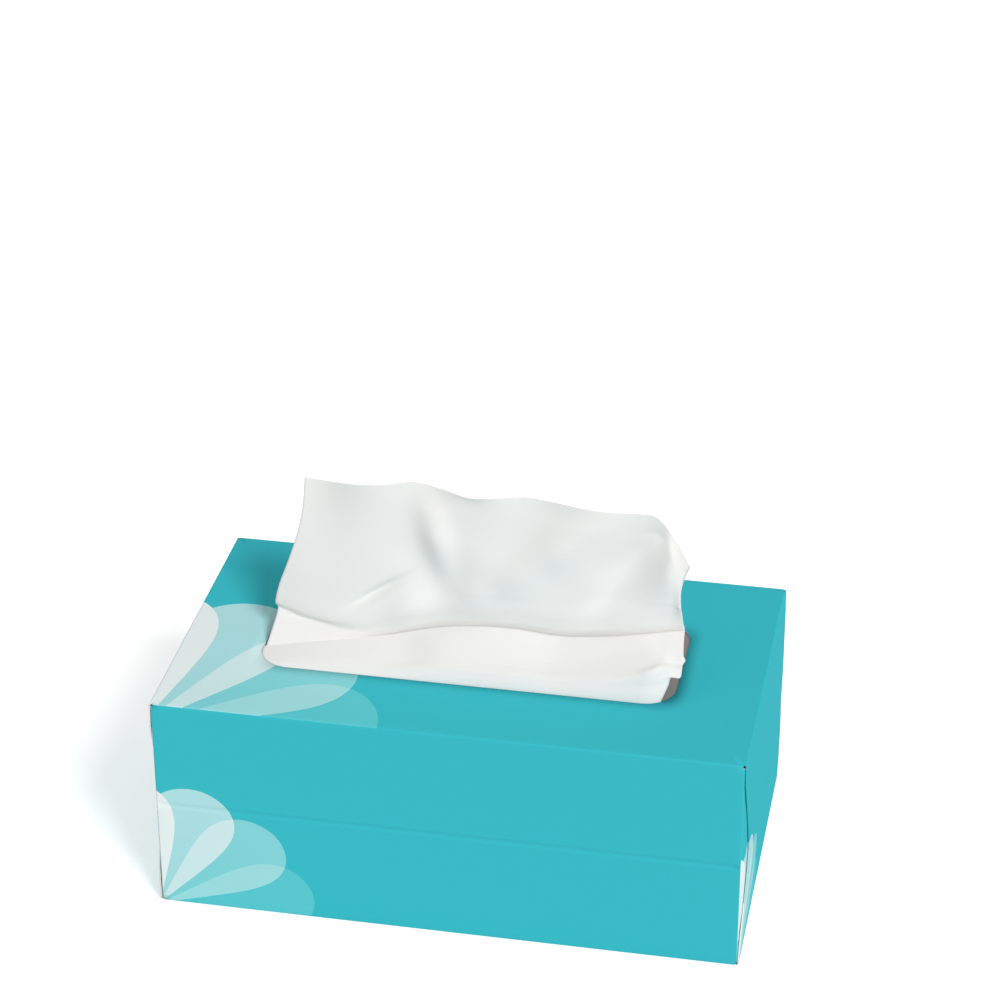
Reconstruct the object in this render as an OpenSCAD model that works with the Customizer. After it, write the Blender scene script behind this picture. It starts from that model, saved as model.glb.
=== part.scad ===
// Tissue box: a folded and glued paperboard carton with a long window in its top,
// a slit film glued under the window, a stack of interfolded tissues, and the sheet
// that stands up through the slit. Fans of pale petals are printed at its corners.
// Origin at the bottom centre of the carton. X runs along the box, and -Y is its front.

/* [Carton] */
// Length of the carton, along X
box_l = 210; // [190:5:260]
// Depth of the carton, from front to back
box_w = 120; // [105:5:150]
// Height of the carton
box_h = 84; // [74:2:120]
// Thickness of the paperboard
board_t = 0.45; // [0.35:0.05:0.7]
// Outside radius of every fold
fold_r = 0.8; // [0.8:0.1:1.4]
// Width of the glued lap inside the back panel
lap_w = 14; // [10:1:20]
// Width of the score along the middle of the front and back panels
score_w = 1.9; // [0.8:0.1:3]
// Depth of that score
score_d = 0.15; // [0.05:0.05:0.25]

/* [End flaps] */
// How far the outer flaps bulge out of an end
flap_bow = 1; // [0.5:0.25:3]
// Height at which they bulge the most
flap_bow_z = 42; // [30:1:54]
// Gap between the two outer flaps of an end, where they meet
flap_gap = 0.3; // [0.2:0.1:1]
// Distance from an outer flap's side edges to the faces of the long panels
flap_inset = 0.8; // [0.6:0.1:2]
// Width of the rounded corners of an outer flap
flap_corner_w = 12; // [6:1:20]
// Height of those rounded corners
flap_corner_h = 27; // [10:1:32]
// Length of a dust flap, from its long panel towards the middle
dust_l = 48; // [35:1:50]
// Distance from a dust flap to the top and bottom faces of the carton
dust_inset = 1.2; // [1:0.1:4]
// How much a dust flap narrows on each side towards its free end
dust_taper = 9; // [0:1:20]
// Play between the dust flaps and the outer flaps at their folds
flap_play = 0.05; // [0.05:0.05:0.5]

/* [Window] */
// Length of the window in the top panel
window_l = 150; // [110:5:160]
// Width of the window
window_w = 55; // [44:1:68]
// Radius of the window's corners
window_r = 11.5; // [5:0.5:20]

/* [Film] */
// Thickness of the film
film_t = 0.1; // [0.05:0.05:0.2]
// Width of the glued margin around the window
film_margin = 12; // [6:1:14]
// How far the film dips at the middle of its slit
film_dip = 3; // [1:0.5:5]
// Distance from an end of the slit to the window's end
slit_end = 5; // [3:0.5:15]
// Width that the sheet opens the slit to, at its middle
slit_w = 4; // [3:0.25:5]

/* [Tissues] */
// Gap between the stack and the dust flaps
stack_end_gap = 3.5; // [1:0.5:8]
// Gap between the stack and the long panels
stack_side_gap = 6; // [1:0.5:10]
// Headroom between the stack and the top panel
stack_headroom = 10; // [9:1:30]
// Radius of the stack's soft long edges
stack_r = 3; // [1:0.5:6]
// Thickness of the raised sheet, which is two loose plies
sheet_t = 0.4; // [0.3:0.05:0.6]
// Height of the raised sheet's free edge above the top panel
sheet_rise = 62; // [45:1:90]
// Distance from the middle of the box to the left end of the free edge
sheet_left = 62; // [45:1:72]
// Distance from the middle of the box to the drooping right corner
sheet_right = 74; // [50:1:76]
// How far that corner droops below the free edge
sheet_droop = 19; // [0:1:25]
// Length of the free edge that droops
droop_w = 12; // [8:1:20]
// Depth of the waves along the free edge, back and forth
sheet_wave = 2; // [0:0.2:4]
// Length of one wave
sheet_pitch = 40; // [30:1:60]
// How far the sheet lies back over the stack, inside the box
sheet_foot = 50; // [20:1:52]
// Width of the sheet where it lies there
foot_w = 186; // [100:2:190]
// Height of the roll that the sheet makes over the front of the window
roll_h = 10.5; // [8:0.5:14]
// Gap between that roll and the window's front and end edges
roll_gap = 0.7; // [0.5:0.1:2]

/* [Printed petals] */
// Thickness that the print is drawn with
print_t = 0.03; // [0.02:0.01:0.1]
// Angle from one petal of a fan to the next
petal_angle = 30; // [26:1:34]
// Half of the angle that a petal spans at its point
petal_spread = 24; // [20:1:28]
// Front fan: how far its petals reach along the box
front_fan_l = 58.5; // [45:0.5:70]
// Front fan: how high they reach
front_fan_h = 53; // [40:0.5:65]
// Top fan: how far its petals reach along the box
top_fan_l = 82; // [65:1:100]
// Top fan: how far they reach towards the back
top_fan_w = 89; // [70:1:105]
// Top fan: how far its point lies in front of the top panel
top_offset = 13.5; // [0:0.5:18]
// End fans: reach of their petals
end_fan = 48; // [38:0.5:60]

/* [Hidden] */
$fn = 64;
eps = 0.01;

// Faces and levels of the carton
x_end = box_l / 2;
y_side = box_w / 2;
inner_fold_r = fold_r - board_t;
dust_x = x_end - board_t - flap_play;
tube_x = dust_x - fold_r;
under_top = box_h - board_t;
seam_z = box_h / 2;

// The inside of the window and the slit
window_x = window_l / 2;
window_y = window_w / 2;
slit_x = window_x - slit_end;

// The stack stands on the bottom panel
stack_x = dust_x - board_t - stack_end_gap;
stack_y = y_side - board_t - stack_side_gap;
stack_z = under_top - stack_headroom;

// Steps of the curves and of the two thin sheets
arc_steps = 8;
bow_steps = 12;
petal_steps = 28;
film_rows = 11;
film_cols = 24;
sheet_rows = 38;
sheet_cols = 34;

// Points along an arc around c, from angle a to angle b
function arc(c, r, a, b, n = arc_steps) =
    [for (i = [0:n]) c + r * [cos(a + (b - a) * i / n), sin(a + (b - a) * i / n)]];

// How far the outer flaps stand out at height z
function bow(z) =
    flap_bow * pow(sin(180 * pow(z / box_h, ln(0.5) / ln(flap_bow_z / box_h))), 1.5);

// Outer face of an outer flap from its fold to the seam, along the box: [x, z]
function flap_face(up) =
    [for (i = [0:bow_steps])
        let (d = fold_r + (seam_z - fold_r) * i / bow_steps, z = up ? box_h - d : d)
        [x_end + bow(z), z]];

// Faces of a slab between two grids of points, which skips the cells
// from skip[1] up to skip[2] of row skip[0] and walls every open edge
function slab_faces(rows, cols, skip = [-1, 0, 0]) =
    let (
        n = (rows + 1) * (cols + 1),
        at = function (i, j) i * (cols + 1) + j,
        full = function (i, j) i >= 0 && i < rows && j >= 0 && j < cols
            && !(i == skip[0] && j >= skip[1] && j < skip[2]),
        wall = function (a, b) [[a, b, b + n], [a, b + n, a + n]]
    )
    [for (i = [0:rows - 1], j = [0:cols - 1]) if (full(i, j))
        let (a = at(i, j), b = at(i, j + 1), c = at(i + 1, j + 1), d = at(i + 1, j))
        each concat(
            [[a, b, c], [a, c, d], [c + n, b + n, a + n], [d + n, c + n, a + n]],
            full(i - 1, j) ? [] : wall(b, a),
            full(i, j + 1) ? [] : wall(c, b),
            full(i + 1, j) ? [] : wall(d, c),
            full(i, j - 1) ? [] : wall(a, d)
        )];

// A smooth value at place t of a row of stations, through each of them
function smooth(s, t) =
    let (
        n = len(s) - 1,
        k = min(floor(t * n), n - 1),
        f = t * n - k,
        p0 = s[max(k - 1, 0)], p1 = s[k], p2 = s[k + 1], p3 = s[min(k + 2, n)]
    )
    p1 + 0.5 * f * (p2 - p0 + f * (2 * p0 - 5 * p1 + 4 * p2 - p3
        + f * (3 * p1 - 3 * p2 + p3 - p0)));

// Carton

module rounded_rect(w, h, r) {
    translate([r - w / 2, r - h / 2]) {
        for (x = [0, w - 2 * r], y = [0, h - 2 * r])
            translate([x, y]) circle(r);
        translate([-r, 0]) square([w, h - 2 * r]);
        translate([0, -r]) square([w - 2 * r, h]);
    }
}

// Score line pressed into the outer face of a long panel, in the tube's section
module score_mark(y, d) {
    polygon([[y, seam_z - score_w / 2], [y - d, seam_z], [y, seam_z + score_w / 2]]);
}

// Section of the four panels, across the box: [y, z]
module tube_section() {
    corner = fold_r + board_t;
    difference() {
        union() {
            difference() {
                translate([0, seam_z]) rounded_rect(box_w, box_h, fold_r);
                translate([0, seam_z])
                    rounded_rect(box_w - 2 * board_t, box_h - 2 * board_t, inner_fold_r);
                translate([y_side - corner, -eps]) square([corner + eps, corner + eps]);
            }
            // beads that the scores raise inside
            score_mark(y_side - board_t + eps, score_d);
            score_mark(board_t - y_side - eps, -score_d);
            glued_corner();
        }
        score_mark(y_side + eps, score_d);
        score_mark(-y_side - eps, -score_d);
    }
}

// The bottom panel's lap folds up inside the back panel, whose cut edge shows below
module glued_corner() {
    y = y_side - board_t;
    c = [y - fold_r, fold_r];
    polygon(concat(
        arc(c, fold_r, -90, 0),
        [[y, board_t / 2], [y_side, board_t / 2], [y_side, fold_r + board_t + eps],
            [y, fold_r + board_t + eps], [y, fold_r + lap_w], [y - board_t, fold_r + lap_w]],
        arc(c, inner_fold_r, 0, -90)
    ));
    translate([y_side - fold_r - board_t - eps, 0]) square([eps * 2, board_t]);
}

module tube() {
    translate([-tube_x, 0, 0])
        rotate([90, 0, 90])
            linear_extrude(2 * tube_x)
                tube_section();
}

module window(z0, z1) {
    translate([0, 0, z0])
        linear_extrude(z1 - z0)
            rounded_rect(window_l, window_w, window_r);
}

// Outline of the two outer flaps of an end: [y, z]
module outer_flap_outlines() {
    y = y_side - flap_inset;
    reach = seam_z - flap_gap / 2;
    c = [y - flap_corner_w, reach - flap_corner_h];
    round_end = [for (p = arc([0, 0], 1, 0, 90))
        c + [p[0] * flap_corner_w, p[1] * flap_corner_h]];
    half = concat([[y, -eps]], round_end);
    lower = concat(half, [for (i = [len(half) - 1:-1:0]) [-half[i][0], half[i][1]]]);
    polygon(lower);
    polygon([for (p = lower) [p[0], box_h - p[1]]]);
}

// Section of an outer flap with its fold, along the box: [x, z]
module outer_flap_section(up) {
    c = [x_end - fold_r, fold_r];
    face = flap_face(up);
    fold = concat([[tube_x - eps, 0]], arc(c, fold_r, -90, -8));
    inner_fold = concat(arc(c, inner_fold_r, -8, -90), [[tube_x - eps, board_t]]);
    at_level = function (points) up ? [for (p = points) [p[0], box_h - p[1]]] : points;
    polygon(concat(
        at_level(fold),
        face,
        [for (i = [bow_steps:-1:0]) face[i] - [board_t, 0]],
        at_level(inner_fold)
    ));
}

// Both outer flaps of the right end
module outer_flaps() {
    intersection() {
        for (up = [false, true])
            translate([0, y_side, 0])
                rotate([90, 0, 0])
                    linear_extrude(box_w)
                        outer_flap_section(up);
        translate([tube_x - 1, 0, 0])
            rotate([90, 0, 90])
                linear_extrude(x_end + flap_bow + 2 - tube_x)
                    outer_flap_outlines();
    }
}

// Section of the front dust flap with its fold, seen from above: [x, y]
module dust_flap_section() {
    c = [dust_x - fold_r, fold_r - y_side];
    polygon(concat(
        [[tube_x - eps, -y_side]],
        arc(c, fold_r, -90, 0),
        [[dust_x, dust_l - y_side], [dust_x - board_t, dust_l - y_side]],
        arc(c, inner_fold_r, 0, -90),
        [[tube_x - eps, board_t - y_side]]
    ));
}

// Both dust flaps of the right end
module dust_flaps() {
    taper_y = dust_l * 0.4 - y_side;
    for (back = [0, 1])
        mirror([0, back, 0])
            intersection() {
                translate([0, 0, dust_inset])
                    linear_extrude(box_h - 2 * dust_inset)
                        dust_flap_section();
                translate([tube_x - 1, 0, 0])
                    rotate([90, 0, 90])
                        linear_extrude(fold_r + 2)
                            polygon([
                                [-y_side - 1, 0], [taper_y, 0],
                                [dust_l - y_side, dust_inset + dust_taper],
                                [dust_l - y_side, box_h - dust_inset - dust_taper],
                                [taper_y, box_h], [-y_side - 1, box_h]
                            ]);
            }
}

module carton() {
    color("#3dbcc8") {
        difference() {
            tube();
            window(under_top - 1, box_h + 1);
        }
        for (left = [0, 1])
            mirror([left, 0, 0]) {
                outer_flaps();
                dust_flaps();
            }
    }
}

// Film

// Top face of the film: flat where it is glued, and dipping towards the slit
function film_z(x, y) =
    let (
        fx = max(0, 1 - pow(x / window_x, 2)),
        fy = max(0, 1 - abs(y) / window_y)
    )
    under_top - film_dip * fx * fy;

// Half of the slit's width at x
function slit_half(x) =
    0.3 + (slit_w / 2 - 0.3) * sqrt(max(0, 1 - pow(x / slit_x, 2)));

module slit_film() {
    mid = (film_rows - 1) / 2;
    edge_x = window_x + film_margin;
    edge_y = window_y + film_margin;
    // columns stand at the film's ends, at the window's ends and along the slit
    column = concat(
        [-edge_x, -window_x],
        [for (j = [0:film_cols - 4]) slit_x * (2 * j / (film_cols - 4) - 1)],
        [window_x, edge_x]
    );
    // rows run from the front edge to the slit and on to the back edge
    function row(i, x) =
        let (k = i <= mid ? i : film_rows - i, s = i <= mid ? -1 : 1)
        s * (k == 0 ? edge_y : window_y + (slit_half(x) - window_y) * (k - 1) / (mid - 1));
    top = [for (i = [0:film_rows], j = [0:film_cols])
        let (x = column[j], y = row(i, x)) [x, y, film_z(x, y)]];
    color("#c9d3d0", 0.6)
        polyhedron(
            concat([for (p = top) p - [0, 0, film_t]], top),
            slab_faces(film_rows, film_cols, [mid, 2, film_cols - 2])
        );
}

// Tissues

module tissue_stack() {
    h = stack_z - board_t;
    color("#f1f2f1")
        translate([-stack_x, 0, board_t + h / 2])
            rotate([90, 0, 90])
                linear_extrude(2 * stack_x)
                    rounded_rect(2 * stack_y, h, stack_r);
}

// The raised sheet lies on the stack, comes up through the slit, runs forward over the
// film, turns back as a roll over the front of the window, and stands up behind it
roll_x = window_x - roll_gap;
foot_x = min(foot_w / 2, stack_x - 2);
foot_y = min(sheet_foot, stack_y - 2);
foot_z = stack_z + sheet_t / 2 + 0.15;
top_z = box_h + sheet_rise;
slit_end_play = 4;
gather_x = slit_x - slit_end_play;
lip_z = 1.1;
curl = 6;

// Valley behind the roll, and the foot of the standing part above it, at even steps along
// the window: [y as a share of the window's half width, height as a share of the roll's]
roll_valley = [
    [-0.46, 0.24], [-0.43, 0.28], [-0.36, 0.36], [-0.22, 0.47], [-0.15, 0.77], [-0.13, 0.97],
    [-0.13, 1.02], [-0.13, 0.91], [-0.13, 1.04], [-0.11, 1.27], [-0.04, 1.45]
];
standing_foot = [
    [-0.15, 0.89], [-0.21, 0.66], [-0.31, 0.61], [-0.28, 0.79], [-0.22, 1.1], [-0.2, 1.3],
    [-0.2, 1.35], [-0.2, 1.25], [-0.2, 1.37], [-0.17, 1.6], [-0.07, 1.78]
];
// Height of the free edge against its mean, at even steps from its left end to its shoulder
free_edge = [0.4, -0.3, -0.8, 0.4, 2.6, 0.6, -2.1, -1.1, 0.5, -0.6, -2.1, -2.7, -2.1];

// Place across the box at x: [y, z], from shares along the window
function along_window(line, x) =
    let (p = smooth(line, min(1, max(0, (x + window_x) / (2 * window_x)))))
    [p[0] * window_y, box_h + p[1] * roll_h];

// Front of the roll at x, inside the window's corners
function roll_front(x) =
    let (past = max(0, abs(x) - (window_x - window_r)))
    roll_gap + sheet_t / 2 - (window_y - window_r)
        - sqrt(max(0, window_r * window_r - past * past));

// Height of the sheet's middle where it lies on the film
function on_film(x, y) = [y, film_z(x, y) + sheet_t / 2 + 0.3];

// From the roll's front, share 0, to the valley behind it, share 1
function roll(x, share) =
    let (valley = along_window(roll_valley, x), front = roll_front(x))
    [front + (valley[0] - front) * share,
        box_h + lip_z + (valley[1] - box_h - lip_z) * (1 - pow(1 - share, 1.35))];

// Free edge: it waves back and forth, and its right corner droops and curls back
function free_place(x) =
    let (
        shoulder = sheet_right - droop_w,
        past = max(0, x - shoulder) / droop_w,
        calm = 1 - 0.6 * min(1, max(0, x / shoulder)),
        even = min(1, max(0, (x + sheet_left) / (sheet_left + shoulder)))
    )
    [calm * sheet_wave * cos(360 * (x + 19) / sheet_pitch) + curl * past * past,
        top_z + smooth(free_edge, even) - sheet_droop * pow(past, 1.67)];

// From the foot of the standing part, share 0, to the free edge, share 1
function standing(x, share) =
    let (foot = along_window(standing_foot, x), free = free_place(x))
    [free[0] + (foot[0] - free[0]) * pow(1 - share, 1.6),
        foot[1] + (free[1] - foot[1]) * share];

// Left end of the standing part, which leans in towards the free edge
function standing_left(share) =
    -sheet_left - (roll_x - 1.5 - sheet_left) * pow(1 - share, 1.5);

// Stations from the foot to the free edge: [left end, right end, place at x]
stations = [
    [-foot_x, foot_x, function (x) [foot_y, foot_z]],
    [-foot_x, foot_x, function (x) [foot_y * 0.6, foot_z]],
    [3 - foot_x, foot_x - 3, function (x) [foot_y * 0.2, foot_z]],
    [-gather_x - 4, gather_x + 4, function (x) [2, foot_z + 1]],
    [-gather_x, gather_x, function (x) [0.3, film_z(x, 0) - 2]],
    [-gather_x, gather_x, function (x) [0.1, film_z(x, 0) + 1.2]],
    [3.5 - roll_x, roll_x - 4, function (x) on_film(x, -4) + [0, 0.4]],
    [2 - roll_x, roll_x - 5, function (x) on_film(x, roll_front(x) * 0.6)],
    [1 - roll_x, roll_x - 5, function (x) on_film(x, roll_front(x) + 2.2)],
    [0.5 - roll_x, roll_x - 4, function (x) roll(x, 0)],
    [-roll_x, roll_x - 2.5, function (x) roll(x, 0.15)],
    [-roll_x, roll_x - 1.5, function (x) roll(x, 0.32)],
    [-roll_x, roll_x, function (x) roll(x, 0.5)],
    [-roll_x, roll_x, function (x) roll(x, 0.72)],
    [0.5 - roll_x, roll_x, function (x) roll(x, 1)],
    [standing_left(0), roll_x, function (x) standing(x, 0)],
    [standing_left(0.12), roll_x - 0.5, function (x) standing(x, 0.12)],
    [standing_left(0.3), sheet_right - 0.5, function (x) standing(x, 0.3)],
    [standing_left(0.5), sheet_right - 0.8, function (x) standing(x, 0.5)],
    [standing_left(0.75), sheet_right - 0.5, function (x) standing(x, 0.75)],
    [-sheet_left, sheet_right, function (x) standing(x, 1)]
];

// Curves across the box at the stations, and a smooth surface through them
sheet_curves = [for (s = stations)
    [for (j = [0:sheet_cols])
        let (x = s[0] + (s[1] - s[0]) * j / sheet_cols, p = s[2](x))
        [x, p[0], p[1]]]];

module raised_tissue() {
    grid = [for (i = [0:sheet_rows]) smooth(sheet_curves, i / sheet_rows)];
    normal = function (i, j)
        let (
            du = grid[i][min(j + 1, sheet_cols)] - grid[i][max(j - 1, 0)],
            dv = grid[min(i + 1, sheet_rows)][j] - grid[max(i - 1, 0)][j],
            n = cross(du, dv)
        )
        n / norm(n);
    side = function (s) [for (i = [0:sheet_rows], j = [0:sheet_cols])
        grid[i][j] + s * sheet_t / 2 * normal(i, j)];
    color("#f6f6f5")
        polyhedron(
            concat(side(-1), side(1)),
            slab_faces(sheet_rows, sheet_cols)
        );
}

// Print

// Each fan: [reach along its first axis, along its second axis, 1 or -1 for the side
// of the first axis that it opens to], in the flat coordinates of its own face
front_fan = [front_fan_l, front_fan_h, 1];
top_fan = [top_fan_l, top_fan_w, 1];
left_fan = [end_fan, end_fan, -1];
right_fan = [end_fan, end_fan, 1];
first_petal = 102;
last_petal = 3;

// Petal k of a fan. On each side of its axis the outline is a power curve between the
// spread at its point and the fan's reach
module petal(fan, k) {
    axis = first_petal - k * petal_angle;
    polygon([for (i = [0:petal_steps - 1])
        let (
            s = 2 * i / petal_steps - 1,
            share = pow(abs(s), 0.8),
            t = axis + petal_spread * sign(s) * share,
            r = pow(1 - pow(share, 1.8), 0.185)
        )
        [fan[0] * r * cos(t), fan[1] * fan[2] * r * sin(t)]
    ]);
}

// What shows of petal k: all of the first one, and the others without their overlaps
module own_field(fan, k) {
    if (k == 0)
        petal(fan, 0);
    else
        difference() {
            petal(fan, k);
            petal(fan, k - 1);
            if (k < last_petal) petal(fan, k + 1);
        }
}

// Overlap of petal k and the next one
module shared_field(fan, k) {
    difference() {
        intersection() {
            petal(fan, k);
            petal(fan, k + 1);
        }
        petal(fan, k - 1);
    }
}

module field(fan, k, shared) {
    if (shared) shared_field(fan, k);
    else own_field(fan, k);
}

// Flat print on the front panel, which leaves the score and the folds bare
module front_print(k, shared) {
    translate([0, -y_side, 0])
        rotate([90, 0, 0])
            linear_extrude(print_t)
                difference() {
                    intersection() {
                        translate([-x_end, 0]) field(front_fan, k, shared);
                        translate([-tube_x, fold_r]) square([2 * tube_x, box_h - 2 * fold_r]);
                    }
                    translate([-tube_x, seam_z - score_w / 2]) square([2 * tube_x, score_w]);
                }
}

module top_print(k, shared) {
    x = x_end - fold_r;
    y = y_side - fold_r;
    translate([0, 0, box_h])
        linear_extrude(print_t)
            difference() {
                intersection() {
                    translate([-x_end, -y_side - top_offset]) field(top_fan, k, shared);
                    translate([-x, -y]) square([2 * x, 2 * y]);
                }
                rounded_rect(window_l, window_w, window_r);
            }
}

// Print on the bulging outer flaps of the right end, from a fan whose point is at height z
module end_print(fan, z, k, shared) {
    intersection() {
        for (up = [false, true])
            translate([0, y_side, 0])
                rotate([90, 0, 0])
                    linear_extrude(box_w)
                        let (face = flap_face(up))
                            polygon(concat(
                                face,
                                [for (i = [bow_steps:-1:0]) face[i] + [print_t, 0]]
                            ));
        translate([x_end - 1, 0, 0])
            rotate([90, 0, 90])
                linear_extrude(flap_bow + 2)
                    intersection() {
                        translate([-y_side, z]) field(fan, k, shared);
                        outer_flap_outlines();
                    }
    }
}

module prints(tint, k, shared = false) {
    color(tint) {
        front_print(k, shared);
        top_print(k, shared);
        end_print(right_fan, 0, k, shared);
        mirror([1, 0, 0]) end_print(left_fan, box_h, k, shared);
    }
}

module petals_white() { prints("#e6f1f1", 0); }
module petals_pale() { prints("#aee2e2", 1); }
module petals_pale_overlap() { prints("#d0eaec", 1, true); }
module petals_light() { prints("#87d6d9", 2); }
module petals_light_overlap() { prints("#9fdde1", 2, true); }
module petals_faint() { prints("#62cbd0", 3); }

carton();
slit_film();
tissue_stack();
raised_tissue();
petals_white();
petals_pale();
petals_pale_overlap();
petals_light();
petals_light_overlap();
petals_faint();
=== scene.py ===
# Tissue box: a printed carton that lies flat, with one sheet of its stack standing up
# through the slit film in its window.
# Lengths in the dictionaries are millimetres, and angles are degrees.
# X runs along the box, -Y is its front and Z is up.
import math

import bpy
import numpy as np
from mathutils import Matrix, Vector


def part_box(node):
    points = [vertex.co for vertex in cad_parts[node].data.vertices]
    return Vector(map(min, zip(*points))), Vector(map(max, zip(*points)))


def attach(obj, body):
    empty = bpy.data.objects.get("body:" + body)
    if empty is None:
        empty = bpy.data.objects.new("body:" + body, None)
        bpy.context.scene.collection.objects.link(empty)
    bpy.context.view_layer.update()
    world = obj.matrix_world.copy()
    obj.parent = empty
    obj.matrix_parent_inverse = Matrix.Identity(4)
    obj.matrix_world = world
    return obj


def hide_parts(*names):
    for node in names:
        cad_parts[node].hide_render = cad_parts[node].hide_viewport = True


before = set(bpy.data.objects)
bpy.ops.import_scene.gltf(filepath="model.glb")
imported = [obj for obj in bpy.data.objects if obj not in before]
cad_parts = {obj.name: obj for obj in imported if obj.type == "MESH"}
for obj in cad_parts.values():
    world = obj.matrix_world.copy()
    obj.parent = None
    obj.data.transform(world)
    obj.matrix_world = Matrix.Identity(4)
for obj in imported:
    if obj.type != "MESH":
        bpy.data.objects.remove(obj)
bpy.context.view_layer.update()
mm = 0.001
print("frame loaded")


# Helpers

def linearColour(hexText):
    # sRGB hex to linear red, green and blue: below 0.04045 a share of 12.92, else a power of 2.4
    parts = np.array([int(hexText[k:k + 2], 16) / 255 for k in (1, 3, 5)])
    flat = np.where(parts <= 0.04045, parts / 12.92, ((parts + 0.055) / 1.055) ** 2.4)
    return (*[float(c) for c in flat], 1.0)


def addNode(tree, kind, settings=None, inputs=None):
    # One node with its settings. An input is a value, or the socket that feeds it
    node = tree.nodes.new(kind)
    for name, value in (settings or {}).items():
        setattr(node, name, value)
    for name, value in (inputs or {}).items():
        if isinstance(value, bpy.types.NodeSocket):
            tree.links.new(value, node.inputs[name])
        else:
            node.inputs[name].default_value = value
    return node


def mathNode(tree, operation, a, b=None):
    # The result of one sum on one or two values, each a number or a socket
    inputs = {0: a} if b is None else {0: a, 1: b}
    return addNode(tree, "ShaderNodeMath", {"operation": operation}, inputs).outputs[0]


def noiseNode(tree, size, detail, roughness=0.5):
    # Uneven tone from 0 to 1 on Object coordinates, with grains of a size in millimetres
    spot = addNode(tree, "ShaderNodeTexCoord").outputs["Object"]
    return addNode(tree, "ShaderNodeTexNoise", {"noise_dimensions": "3D"},
                   {"Vector": spot, "Scale": 1 / (size * mm), "Detail": detail,
                    "Roughness": roughness}).outputs["Fac"]


def waverNode(tree, factor, middle, spread):
    # A value that goes from its middle less the spread to its middle plus the spread, as the
    # factor goes from 0 to 1
    return addNode(tree, "ShaderNodeMapRange", None,
                   {"Value": factor, "To Min": middle - spread, "To Max": middle + spread}).outputs[0]


def bumpNode(tree, height, strength, depth):
    # Relief from a pattern, with its depth in millimetres
    return addNode(tree, "ShaderNodeBump", None,
                   {"Height": height, "Strength": strength, "Distance": depth * mm}).outputs[0]


def startMaterial(name):
    # A material with only its output, and its node tree
    material = bpy.data.materials.new(name)
    material.use_nodes = True
    tree = material.node_tree
    tree.nodes.clear()
    return material, tree, tree.nodes.new("ShaderNodeOutputMaterial")


def smoothRow(stations, places, slack=None):
    # A spline through evenly spaced stations, read at places from 0 to 1: between two stations
    # it is the cubic whose slope at each is half the step from its neighbour to the next one,
    # and no longer than slack times the shorter step beside it
    stations = np.asarray(stations, float)
    last = len(stations) - 1
    steps = np.diff(stations, axis=0)
    before, after = np.concatenate([0 * steps[:1], steps]), np.concatenate([steps, 0 * steps[:1]])
    slopes = (before + after) / 2
    if slack:
        sizes = [np.linalg.norm(v, axis=-1, keepdims=True) for v in (before, after, slopes)]
        shorter = np.minimum(sizes[0], sizes[1])
        shorter[[0, -1]] = sizes[2][[0, -1]]
        slopes = slopes * np.minimum(1, slack * shorter / np.maximum(sizes[2], 1e-9))
    at = np.clip(places, 0, 1) * last
    k = np.minimum(at.astype(int), last - 1)
    f = (at - k).reshape(at.shape + (1,) * (stations.ndim - 1))
    step, s0, s1 = steps[k], slopes[k], slopes[k + 1]
    return stations[k] + f * (s0 + f * (3 * step - 2 * s0 - s1 + f * (s0 + s1 - 2 * step)))


def gridFaces(rows, cols, wrap=False):
    # Corners of every cell of a grid of points, with the last column joined to the first by wrap
    i, j = np.meshgrid(np.arange(rows - 1), np.arange(cols if wrap else cols - 1), indexing="ij")
    nextJ = (j + 1) % cols
    faces = np.stack([i * cols + j, i * cols + nextJ, (i + 1) * cols + nextJ, (i + 1) * cols + j], -1)
    return faces.reshape(-1, 4)


def newPiece(name, points, faces, materials, smooth=True):
    # A mesh object at the origin from points in millimetres and four-cornered faces
    mesh = bpy.data.meshes.new(name)
    mesh.vertices.add(len(points))
    mesh.vertices.foreach_set("co", (np.asarray(points) * mm).astype(np.float32).ravel())
    mesh.loops.add(faces.size)
    mesh.loops.foreach_set("vertex_index", faces.astype(np.int32).ravel())
    mesh.polygons.add(len(faces))
    mesh.polygons.foreach_set("loop_start", np.arange(0, faces.size, 4, dtype=np.int32))
    mesh.polygons.foreach_set("use_smooth", np.full(len(faces), smooth))
    mesh.update(calc_edges=True)
    mesh.validate()
    for material in materials:
        mesh.materials.append(material)
    piece = bpy.data.objects.new(name, mesh)
    bpy.context.scene.collection.objects.link(piece)
    return piece


def setMap(piece, name, values):
    # A UV map from one pair of values for each corner of each face
    layer = piece.data.uv_layers.new(name=name)
    layer.data.foreach_set("uv", values.astype(np.float32).ravel())


def addThickness(piece, thickness, inside=0, rim=0, soft=False):
    # A wall behind the faces, with the material numbers of its inside and of its cut edges. A soft
    # one lies on both sides of its faces, and isn't kept even, which would spike in its creases
    wall = piece.modifiers.new("wall", "SOLIDIFY")
    wall.thickness = thickness * mm
    wall.offset = 0 if soft else -1
    wall.use_even_offset = not soft
    wall.material_offset = inside
    wall.material_offset_rim = rim


# Camera, light and floor

view = {
    "place": (190.74, -944.27, 678.58),
    "azimuth": 10.92,
    "elevation": 29.05,
    "roll": -0.117,
    "lens": 113.16,
    "clipStart": 50,
    "clipEnd": 50000,
}


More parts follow.
